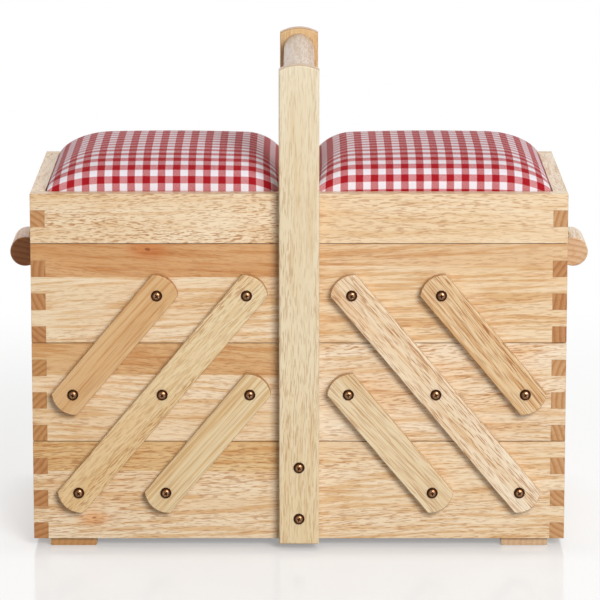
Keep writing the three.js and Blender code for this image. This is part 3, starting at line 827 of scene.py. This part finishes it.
screwSizes = {"Head Radius": 0.00465, "Head Height": 0.003, "Sunk": 0.0003, "Recess Length": 0.0052,
              "Recess Width": 0.0015, "Recess Depth": 0.0016, "Metal": bronze}
handleScrewHeights = (0.0200, 0.0635)      # above the lower edge of the base
metalSharpAngle = 30
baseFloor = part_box("base_left_end")[0].z
for face, outward in faceWays.items():
    low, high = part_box(f"{face}_upright")
    seat = high.y if outward > 0 else low.y
    for height in handleScrewHeights:
        screwSpots["base"].append((((low.x + high.x) / 2, seat, baseFloor + height), (0, outward, 0)))
for seed, (body, spots) in enumerate(screwSpots.items()):
    mesh = setScrews(body + "Screws", spots, {**screwSizes, "Seed": seed})
    carrier = "base_{}_board" if body == "base" else body[:-1] + "_{}"
    replaced = [carrier.format(face) for face in faceWays]
    placePiece(mesh, pieceName(body) + "Screws", body, replaced, metalSharpAngle)


# Lid hinges: a leaf with its knuckles on the tray and one on the lid

hingeSizes = {"knuckles": 5, "knuckleGap": 0.0003, "knuckleRadius": 0.0022, "leafThickness": 0.001,
              "seatGap": 0.0002, "segments": 28, "arris": 0.0002, "arrisSteps": 2, "pinRadius": 0.001,
              "pinSegments": 20, "screwsAt": (-0.045, -0.015, 0.015, 0.045), "seed": 20}
hingeScrewSizes = {"Head Radius": 0.0021, "Head Height": 0.0002, "Sunk": 0.0005, "Recess Length": 0.0024,
                   "Recess Width": 0.0006, "Recess Depth": 0.0004, "Metal": brass}


def joinPrism(target, outline, low, high, sizes=None):
    bm = prism(outline, low, high, alongY)
    if sizes:
        roundOver(bm, capEdges(bm), sizes)
    mesh = toMesh(bm, "hingePart")
    target.from_mesh(mesh)
    bpy.data.meshes.remove(mesh)


# A leaf lies on the edge of its end board, above the axis on the lid and below it on the tray
def buildLeaf(side, owner, board, body, up, sizes):
    node = f"{side}_{owner}_hinge_leaf"
    sign, axis = sides[side], jointAt[f"{side}_lid_hinge"]
    low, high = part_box(node)
    radius, thick, gap = sizes["knuckleRadius"], sizes["leafThickness"], sizes["knuckleGap"]
    near = axis.x - sign * (radius + sizes["seatGap"])
    far = low.x if sign > 0 else high.x
    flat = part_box(board)[0 if up > 0 else 1].z
    leaf = bmesh.new()
    plate = [(near, flat), (far, flat), (far, flat + up * thick), (near, flat + up * thick)]
    joinPrism(leaf, plate, low.y, high.y, sizes)
    lean = math.asin((abs(flat - axis.z) + thick) / radius)
    curl = arc((0, 0), radius, lean, 2 * math.pi, sizes["segments"])
    curl = [(axis.x - sign * x, axis.z + up * z) for x, z in curl]
    curl += [(near, axis.z), (near, flat + up * thick)]
    step = (high.y - low.y) / sizes["knuckles"]
    for knuckle in range(1 if up > 0 else 0, sizes["knuckles"], 2):
        yLow = low.y + knuckle * step + gap / 2
        joinPrism(leaf, curl, yLow, yLow + step - gap, sizes)
    if up < 0:      # the pin stays with the tray
        pin = arc((axis.x, axis.z), sizes["pinRadius"], 0, 2 * math.pi, sizes["pinSegments"])[:-1]
        joinPrism(leaf, pin, low.y, high.y)
    bmesh.ops.recalc_face_normals(leaf, faces=leaf.faces)
    mesh = toMesh(leaf, node)
    mesh.materials.append(brass)
    placePiece(mesh, pieceName(node), body, [node], metalSharpAngle)
    spots = [(((near + far) / 2, y, flat), (0, 0, -up)) for y in sizes["screwsAt"]]
    mesh = setScrews(node + "Screws", spots, {**hingeScrewSizes, "Seed": sizes["seed"] + up})
    placePiece(mesh, pieceName(node) + "Screws", body, [node], metalSharpAngle)


for side in sides:
    buildLeaf(side, "tray", f"{side}_top_outer_end", f"{side}_top_tray", -1, hingeSizes)
    buildLeaf(side, "lid", f"{side}_lid_outer_end", f"{side}_lid", 1, hingeSizes)
print("hinges fitted")


# Cushions: a crowned pad in each lid, swelled by a short cloth simulation

cushionSizes = {"divisions": 64, "edgeRows": 0.55, "outerReach": 0.046, "innerReach": 0.032, "sidePower": 2.0,
                "frontReach": 0.075, "frontPower": 2.8, "dome": 0.09, "drawIn": 0.0006, "tuck": 0.0005,
                "crownShare": 0.915, "startShare": 0.97, "quality": 6, "bending": 5.0, "pressure": 1.5,
                "frames": 16, "cap": 0.002, "sharpAngle": 60, "fill": 0.9}
# the middle of a dyed column from the pad's middle, and of the first dyed row from its front
dyedAt = {"left": (-0.0024, 0.0100), "right": (0.0012, 0.0116)}


def buildPad(node, sizes):
    low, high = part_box(node)
    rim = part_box(node.replace("cushion", "front_rail"))[1].z
    n = sizes["divisions"]
    halfX, halfY = (high.x - low.x) / 2, (high.y - low.y) / 2
    centre = (low + high) / 2
    edge = rim - sizes["tuck"]
    height = (high.z - edge) * sizes["crownShare"]

    def shoulder(distance, reach, power):
        slope = max(0.0, 1 - distance / reach)
        return max(0.0, 1 - slope ** power) ** (1 / power)

    def spread(step):      # closer rows near the edges
        share = sizes["edgeRows"]
        return math.sin((step / n - 0.5) * math.pi) * share + (2 * step / n - 1) * (1 - share)

    places = []
    for top in (True, False):
        for j in range(n + 1):
            for i in range(n + 1):
                u, v = spread(i), spread(j)
                end = "innerReach" if u * centre.x < 0 else "outerReach"      # fuller beside the handle
                rise = shoulder(halfX * (1 - abs(u)), sizes[end], sizes["sidePower"])
                rise *= shoulder(halfY * (1 - abs(v)), sizes["frontReach"], sizes["frontPower"])
                rise *= 1 - sizes["dome"] * u * u
                x = u * (halfX - sizes["drawIn"] * (1 - v * v))
                y = v * (halfY - sizes["drawIn"] * (1 - u * u))
                z = edge + height * rise if top else low.z
                places.append((centre.x + x, centre.y + y, z))
    row, under = n + 1, (n + 1) ** 2
    faces = []
    for j in range(n):
        for i in range(n):
            a = j * row + i
            faces.append((a, a + 1, a + row + 1, a + row))
            faces.append((under + a, under + a + row, under + a + row + 1, under + a + 1))
    border = list(range(n)) + [j * row + n for j in range(n)]
    border += [n * row + i for i in range(n, 0, -1)] + [j * row for j in range(n, 0, -1)]
    for k, a in enumerate(border):
        b = border[k - 1]
        faces.append((a, b, under + b, under + a))
    held = border + list(range(under, 2 * under))
    return newMesh(node, places, faces), held, (low, high), edge, edge + height


# Blows the pad up from a flatter start, keeps it within the lid and brings it back to its crown
def swell(sizes, mesh, held, box, edge, crown):
    start = np.array([v.co for v in mesh.vertices])
    above = start[:, 2] > edge
    start[above, 2] = edge + (start[above, 2] - edge) * sizes["startShare"]
    mesh.vertices.foreach_set("co", start.astype(np.float32).ravel())
    pad = addObject("padTrial", mesh)
    pad.vertex_groups.new(name="held").add(held, 1.0, "REPLACE")
    cloth = pad.modifiers.new("cloth", "CLOTH")
    settings = cloth.settings
    settings.vertex_group_mass = "held"
    settings.quality = sizes["quality"]
    settings.bending_stiffness = sizes["bending"]
    settings.use_pressure = True
    settings.uniform_pressure_force = sizes["pressure"]
    settings.effector_weights.gravity = 0.0
    cloth.point_cache.frame_end = sizes["frames"]
    for step in range(1, sizes["frames"] + 1):
        scene.frame_set(step)
    swelled = pad.evaluated_get(bpy.context.evaluated_depsgraph_get()).to_mesh()
    shift = np.array([v.co for v in swelled.vertices]) - start
    length = np.linalg.norm(shift, axis=1, keepdims=True)
    print("cushion swelled by up to", round(float(length.max()) * 1000, 2), "mm")
    places = start + shift * np.minimum(1.0, sizes["cap"] / np.maximum(length, 1e-9))
    low, high = box
    places[:, 0] = np.clip(places[:, 0], low.x, high.x)
    places[:, 1] = np.clip(places[:, 1], low.y, high.y)
    above = places[:, 2] > edge
    places[above, 2] = edge + (places[above, 2] - edge) * (crown - edge) / (places[:, 2].max() - edge)
    scene.frame_set(1)
    bpy.data.objects.remove(pad)
    mesh.vertices.foreach_set("co", places.astype(np.float32).ravel())


# The cloth's own map: lengths along its rows and columns from the middle of the pad
def mapCloth(mesh, n, columnAt, rowAt):
    count = (n + 1) ** 2
    places = np.array([v.co for v in mesh.vertices])
    grid = places[:count].reshape(n + 1, n + 1, 3)
    maps = np.zeros((len(places), 2))
    for axis in (0, 1):
        lines = grid if axis == 0 else grid.transpose(1, 0, 2)
        lengths = np.linalg.norm(np.diff(lines, axis=1), axis=2)
        run = np.concatenate([np.zeros((n + 1, 1)), np.cumsum(lengths, axis=1)], axis=1)
        run -= run[:, n // 2:n // 2 + 1]
        maps[:count, axis] = (run if axis == 0 else run.T).ravel()
    maps[count:] = maps[:count]
    under = maps[count:].reshape(n + 1, n + 1, 2)
    depth = grid[0, n // 2, 2] - places[-1, 2]      # the cloth goes on down the sides
    under[:, 0, 0] -= depth
    under[:, -1, 0] += depth
    under[0, :, 1] -= depth
    under[-1, :, 1] += depth
    front = maps[n // 2, 1]
    maps += (ginghamLook["check"] - columnAt, ginghamLook["check"] - rowAt - front)
    layer = mesh.uv_layers.new(name="cloth")
    for loop in mesh.loops:
        layer.data[loop.index].uv = maps[loop.vertex_index]


for side in sides:
    node = f"{side}_lid_cushion"
    mesh, *bounds = buildPad(node, cushionSizes)
    swell(cushionSizes, mesh, *bounds)
    mapCloth(mesh, cushionSizes["divisions"], *dyedAt[side])
    mesh.materials.append(gingham)
    pad = placePiece(mesh, pieceName(node), f"{side}_lid", [node], cushionSizes["sharpAngle"])
    smooth = pad.modifiers.new("smooth", "SUBSURF")
    smooth.levels = smooth.render_levels = 1
print("cushions stuffed")


# Studio: a pale floor that fades to white, a key light from the upper right, soft fill, and lamps for the
# sides and the back

floorLook = {"size": 8.0, "colour": (0.85, 0.85, 0.85, 1.0), "bounceColour": (0.45, 0.45, 0.45, 1.0),
             "roughness": 0.12, "gloss": 0.25, "contactReach": 0.05, "contactWhite": 0.30,
             "nearWhite": 0.55, "fadeShape": (0.7, 1.0, 0.0), "fadeRange": (0.30, 0.95)}
worldLook = {"fill": 0.22, "fillColour": (1.0, 0.95, 0.88, 1.0), "white": (1.0, 1.0, 1.0, 1.0)}
lampAim = (0, 0, 0.18)
lamps = {
    "key": {"place": (0.95, -2.65, 1.42), "size": 1.2, "power": 83.0},
    "top": {"place": (0.10, -0.20, 2.50), "size": 1.6, "power": 10.0},
    "back": {"place": (-0.20, 2.40, 1.30), "size": 1.8, "power": 5.0},
    "left": {"place": (-2.00, 1.60, 0.70), "size": 1.0, "power": 18.0},
    "right": {"place": (2.00, 1.60, 0.70), "size": 1.0, "power": 14.0},
}
cameraSizes = {"place": (0.0008, -3.235, 0.836), "tilt": 11.346, "lens": 233.1, "sensor": 36.0}


# One where the camera, a reflection or a transmission looks, and zero for the light on the object
def seenRays(tree):
    rays = addNode(tree, "ShaderNodeLightPath").outputs
    seen = calc(tree, "ADD", rays["Is Camera Ray"], rays["Is Glossy Ray"])
    return calc(tree, "ADD", seen, rays["Is Transmission Ray"], True)


# Mixes two shaders and lets the output show the result
def showBlend(tree, output, factor, a, b):
    blend = addNode(tree, "ShaderNodeMixShader", {0: factor, 1: a.outputs[0], 2: b.outputs[0]})
    setSockets(tree, tree.nodes[output], {"Surface": blend.outputs[0]})


# The floor shows its own shading near the object and turns white away from it
def buildFloor(look):
    footprint = (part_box("base_front_board")[1].x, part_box("base_left_end")[1].y, 0.0)
    half = look["size"] / 2
    corners = [(-half, -half, 0), (half, -half, 0), (half, half, 0), (-half, half, 0)]
    mesh = newMesh("floor", corners, [(0, 1, 2, 3)])
    material, tree, principled = newMaterial("paleFloor")
    white = addNode(tree, "ShaderNodeEmission", {"Color": worldLook["white"], "Strength": 1.0})
    place = objectPlace(tree)
    away = vectorLength(tree, vectorCalc(tree, "MULTIPLY", place, look["fadeShape"]))
    beyond = vectorCalc(tree, "SUBTRACT", vectorCalc(tree, "ABSOLUTE", place), footprint)
    clear = vectorLength(tree, vectorCalc(tree, "MAXIMUM", beyond))
    near = ease(tree, clear, 0.0, look["contactReach"], look["contactWhite"], look["nearWhite"])
    seen = seenRays(tree)
    colour = mixColour(tree, seen, look["bounceColour"], look["colour"])      # it lights less than it looks
    setSockets(tree, principled, {"Base Color": colour, "Roughness": look["roughness"],
                                  "Specular IOR Level": look["gloss"]})
    fade = times(tree, ease(tree, away, *look["fadeRange"], near), seen)
    showBlend(tree, "Material Output", fade, principled, white)
    mesh.materials.append(material)
    addObject("floor", mesh)


def buildWorld(look):
    world = bpy.data.worlds.new("studio")
    scene.world = world
    world.use_nodes = True
    tree = world.node_tree
    fill = addNode(tree, "ShaderNodeBackground", {"Color": look["fillColour"], "Strength": look["fill"]})
    white = addNode(tree, "ShaderNodeBackground", {"Color": look["white"], "Strength": 1.0})
    showBlend(tree, "World Output", seenRays(tree), fill, white)


def addLamp(name, sizes):
    lamp = bpy.data.lights.new(name, "AREA")
    lamp.size = sizes["size"]
    lamp.energy = sizes["power"]
    thing = addObject(name, lamp)
    thing.location = sizes["place"]
    aim = Vector(lampAim) - Vector(sizes["place"])
    thing.rotation_euler = aim.to_track_quat("-Z", "Y").to_euler()
    thing.visible_camera = False


buildFloor(floorLook)
buildWorld(worldLook)
for lamp, sizes in lamps.items():
    addLamp(lamp + "Light", sizes)
camera = addObject("camera", bpy.data.cameras.new("camera"))
camera.location = cameraSizes["place"]
camera.rotation_euler = (math.radians(90 - cameraSizes["tilt"]), 0, 0)
camera.data.lens = cameraSizes["lens"]
camera.data.sensor_width = cameraSizes["sensor"]
scene.camera = camera
scene.view_settings.view_transform = "Standard"
print("studio lit")
